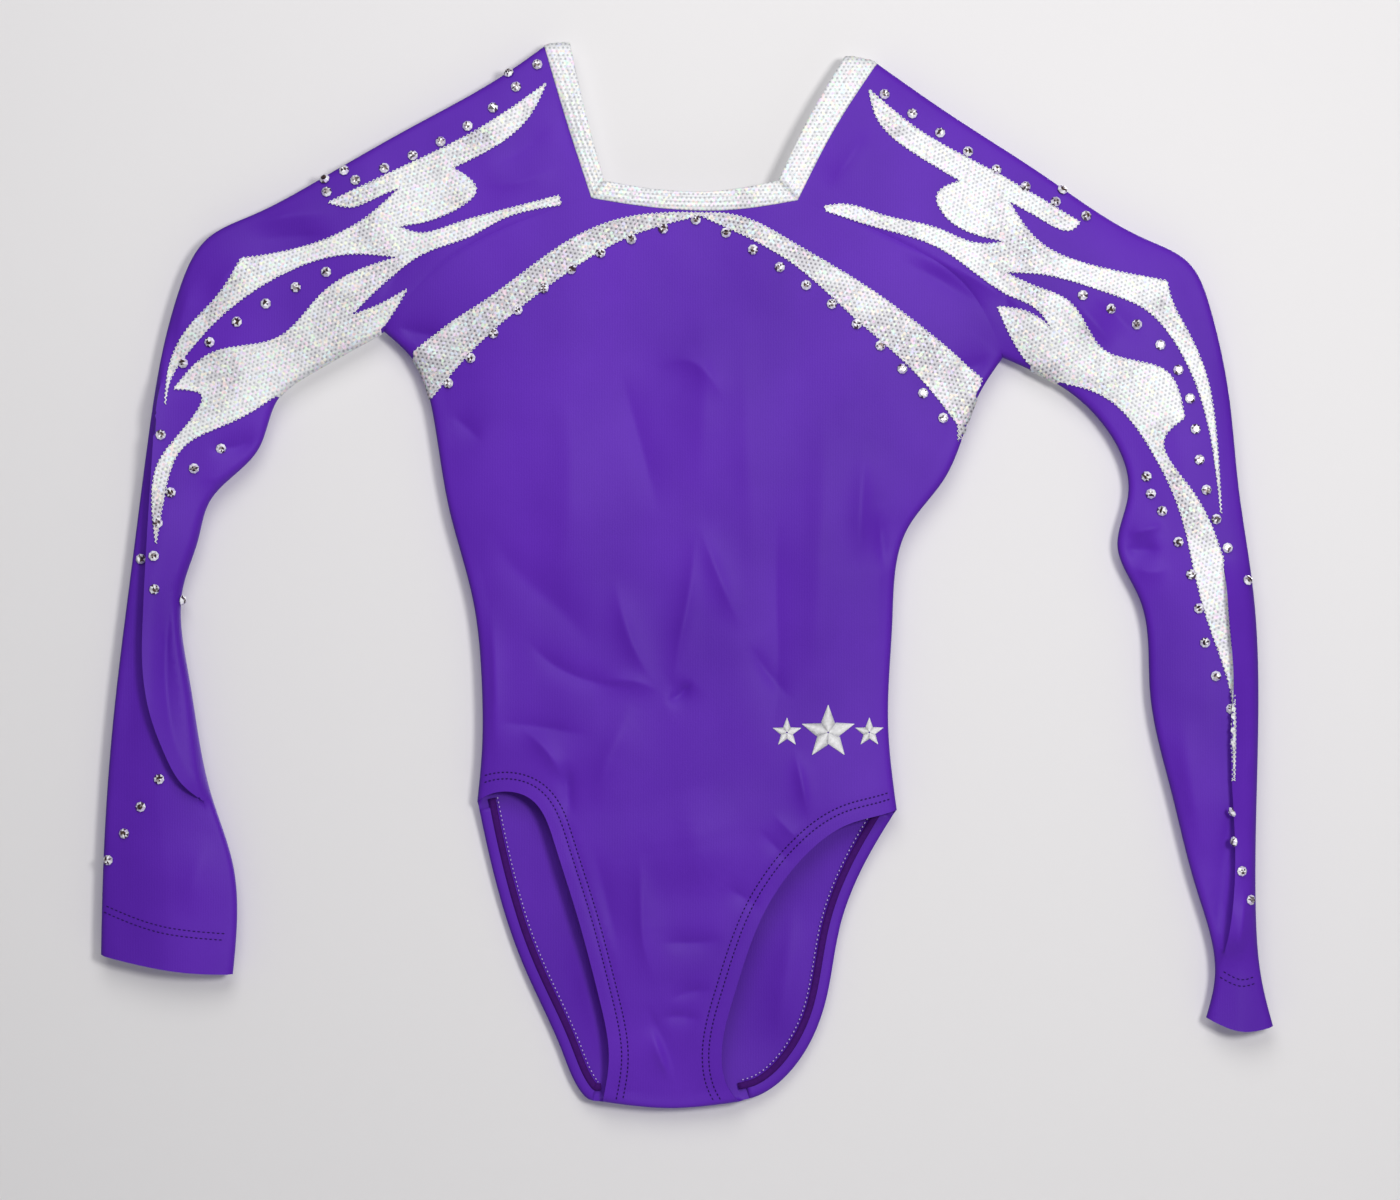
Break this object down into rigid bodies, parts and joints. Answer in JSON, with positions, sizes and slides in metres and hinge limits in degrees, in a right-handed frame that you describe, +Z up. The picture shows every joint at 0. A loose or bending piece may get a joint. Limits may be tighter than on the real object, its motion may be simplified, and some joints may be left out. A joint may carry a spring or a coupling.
{
  "type": "gymnastics leotard",
  "caption": "Long-sleeved purple competition leotard with silver foil flames, chest bands, neck binding and rhinestones, hung from its shoulders.",
  "frame": {"origin": "hanger seat: middle of the neck opening, level with the shoulder folds and midway through the depth", "axes": "+X towards the wearer's left arm (the viewer's right), -Y out of the front, +Z up, as the leotard hangs"},
  "size_m": [0.542, 0.0304, 0.492],
  "materials": {
    "purple_spandex": "smooth knitted nylon and spandex with a soft sheen",
    "silver_foil": "holographic foil on knit, dotted",
    "rhinestone": "foil-backed faceted crystal",
    "elastic": "matte",
    "lining": "matte tricot",
    "purple_thread": "polyester thread",
    "white_thread": "satin stitch thread"
  },
  "bodies": {
    "torso": {"front_body_panel": "purple_spandex", "back_body_panel": "purple_spandex", "right_shoulder_panel": "purple_spandex", "left_shoulder_panel": "purple_spandex", "front_neck_binding": "silver_foil", "back_neck_binding": "silver_foil", "right_neck_binding": "silver_foil", "left_neck_binding": "silver_foil", "neck_elastic": "elastic", "right_leg_elastic": "elastic", "right_leg_stitching": "purple_thread", "left_leg_elastic": "elastic", "left_leg_stitching": "purple_thread", "crotch_lining": "lining", "right_chest_band": "silver_foil", "left_chest_band": "silver_foil", "right_shoulder_flame_front": "silver_foil", "right_shoulder_flame_back": "silver_foil", "left_shoulder_flame_front": "silver_foil", "left_shoulder_flame_back": "silver_foil", "hip_embroidery": "white_thread", "chest_rhinestones": "rhinestone", "right_shoulder_rhinestones": "rhinestone", "left_shoulder_rhinestones": "rhinestone"},
    "right_arm": {"right_sleeve": "purple_spandex", "right_cuff_stitching": "purple_thread", "right_sleeve_flame_front": "silver_foil", "right_sleeve_flame_back": "silver_foil", "right_sleeve_rhinestones": "rhinestone"},
    "left_arm": {"left_sleeve": "purple_spandex", "left_cuff_stitching": "purple_thread", "left_sleeve_flame_front": "silver_foil", "left_sleeve_flame_back": "silver_foil", "left_sleeve_rhinestones": "rhinestone"}
  },
  "joints": [
    {"name": "right_shoulder", "type": "hinge", "parent": "torso", "child": "right_arm", "pos_m": [-0.196, 0, -0.119], "axis": [0, 1, 0], "range_deg": [-15, 70]},
    {"name": "left_shoulder", "type": "hinge", "parent": "torso", "child": "left_arm", "pos_m": [0.191, 0, -0.131], "axis": [0, -1, 0], "range_deg": [-15, 70]}
  ]
}
